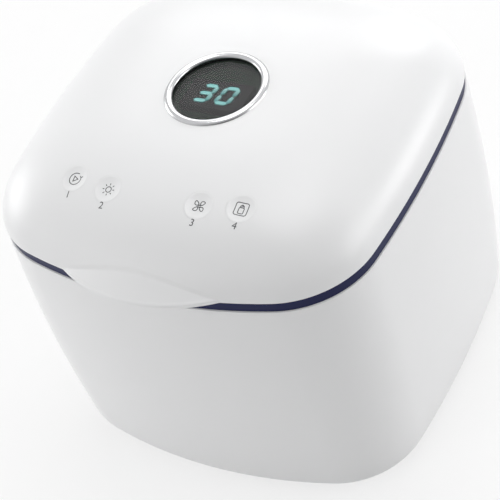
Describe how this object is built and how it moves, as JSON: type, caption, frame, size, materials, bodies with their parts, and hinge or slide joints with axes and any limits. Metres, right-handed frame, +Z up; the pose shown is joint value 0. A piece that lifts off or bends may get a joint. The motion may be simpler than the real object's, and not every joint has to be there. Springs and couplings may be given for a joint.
{
  "type": "uv sterilizer box",
  "caption": "Countertop ultraviolet steriliser and dryer: bowed white box, domed rear-hinged lid with finger lip, round display, dished keys, steel chamber, wire rack and warm-air blower.",
  "frame": {"origin": "middle of the object's box in plan, at the height of the surface it stands on", "axes": "+Z up; -Y is the front, where the finger lip and keys are; +X to the right seen from the front"},
  "size_m": [0.3048, 0.325, 0.2655],
  "materials": {
    "white_shell": "smooth moulded white, soft gloss",
    "navy_band": "deep navy, glossy",
    "white_inner": "fine satin",
    "steel_liner": "brushed",
    "mirror_sheet": "bright rolled",
    "wire_steel": "polished wire",
    "quartz_glass": "clear quartz",
    "ceramic_cap": "ceramic",
    "black_plastic": "matte black",
    "silicone": "soft grey-white",
    "foot_rubber": "matte",
    "board_green": "solder mask",
    "component_dark": "moulded",
    "motor_steel": "rolled",
    "filter_fleece": "pleated fleece",
    "screw_steel": "plated",
    "hinge_metal": "white powder coat",
    "bush_brass": "sintered",
    "bezel_chrome": "bright plated",
    "smoked_window": "smoked",
    "lit_cyan": "lit diffuser"
  },
  "bodies": {
    "housing": {"body_shell": "white_shell", "base_plate": "white_inner", "feet": "foot_rubber", "body_screws": "screw_steel", "trim_ring": "navy_band", "top_frame": "white_inner", "chamber_liner": "steel_liner", "exhaust_duct": "white_inner", "exhaust_grille": "white_shell", "floor_grille": "steel_liner", "lower_uv_tube": "quartz_glass", "lower_tube_caps": "ceramic_cap", "lower_tube_holders": "ceramic_cap", "lower_reflector": "mirror_sheet", "rack_floor": "wire_steel", "rack_front": "wire_steel", "rack_back": "wire_steel", "rack_left": "wire_steel", "rack_right": "wire_steel", "blower_housing": "black_plastic", "blower_cover": "black_plastic", "blower_motor": "motor_steel", "heater_frame": "steel_liner", "heater_fins": "mirror_sheet", "air_duct": "white_inner", "filter_housing": "white_inner", "power_inlet": "black_plastic", "inlet_pins": "bush_brass", "main_board": "board_green", "board_components": "component_dark", "hinge_bracket": "hinge_metal", "hinge_pin": "screw_steel", "lid_switch": "black_plastic"},
    "impeller": {"impeller": "black_plastic"},
    "filter": {"filter_tray": "white_shell", "filter_pad": "filter_fleece"},
    "lid": {"lid_cover": "white_shell", "display_bezel": "bezel_chrome", "display_window": "smoked_window", "display_board": "board_green", "display_module": "black_plastic", "display_segments": "lit_cyan", "control_board": "board_green", "tact_switches": "component_dark", "lid_liner": "white_inner", "lid_screws": "screw_steel", "upper_uv_tube": "quartz_glass", "upper_tube_caps": "ceramic_cap", "upper_tube_holders": "ceramic_cap", "upper_reflector": "mirror_sheet", "tube_guard": "steel_liner", "lid_seal": "silicone", "lid_magnet": "motor_steel", "lid_hinge_arm": "hinge_metal", "hinge_bushes": "bush_brass"},
    "key_1": {"key_1": "white_shell"},
    "key_2": {"key_2": "white_shell"},
    "key_3": {"key_3": "white_shell"},
    "key_4": {"key_4": "white_shell"}
  },
  "joints": [
    {"name": "lid_hinge", "type": "hinge", "parent": "housing", "child": "lid", "pos_m": [0, 0.157, 0.2125], "axis": [-1, 0, 0], "range_deg": [0, 100]},
    {"name": "impeller_spin", "type": "hinge", "parent": "housing", "child": "impeller", "pos_m": [-0.06, 0.045, 0.02], "axis": [0, 0, 1], "continuous": true},
    {"name": "filter_slide", "type": "slide", "parent": "housing", "child": "filter", "axis": [0, 1, 0], "range_m": [0, 0.04]},
    {"name": "key_1_press", "type": "slide", "parent": "lid", "child": "key_1", "axis": [0, 0.2298, -0.9732], "range_m": [0, 0.0008], "stiffness_N_per_m": 600, "springref_m": -0.0005},
    {"name": "key_2_press", "type": "slide", "parent": "lid", "child": "key_2", "axis": [0, 0.2298, -0.9732], "range_m": [0, 0.0008], "stiffness_N_per_m": 600, "springref_m": -0.0005},
    {"name": "key_3_press", "type": "slide", "parent": "lid", "child": "key_3", "axis": [0, 0.2298, -0.9732], "range_m": [0, 0.0008], "stiffness_N_per_m": 600, "springref_m": -0.0005},
    {"name": "key_4_press", "type": "slide", "parent": "lid", "child": "key_4", "axis": [0, 0.2298, -0.9732], "range_m": [0, 0.0008], "stiffness_N_per_m": 600, "springref_m": -0.0005}
  ]
}
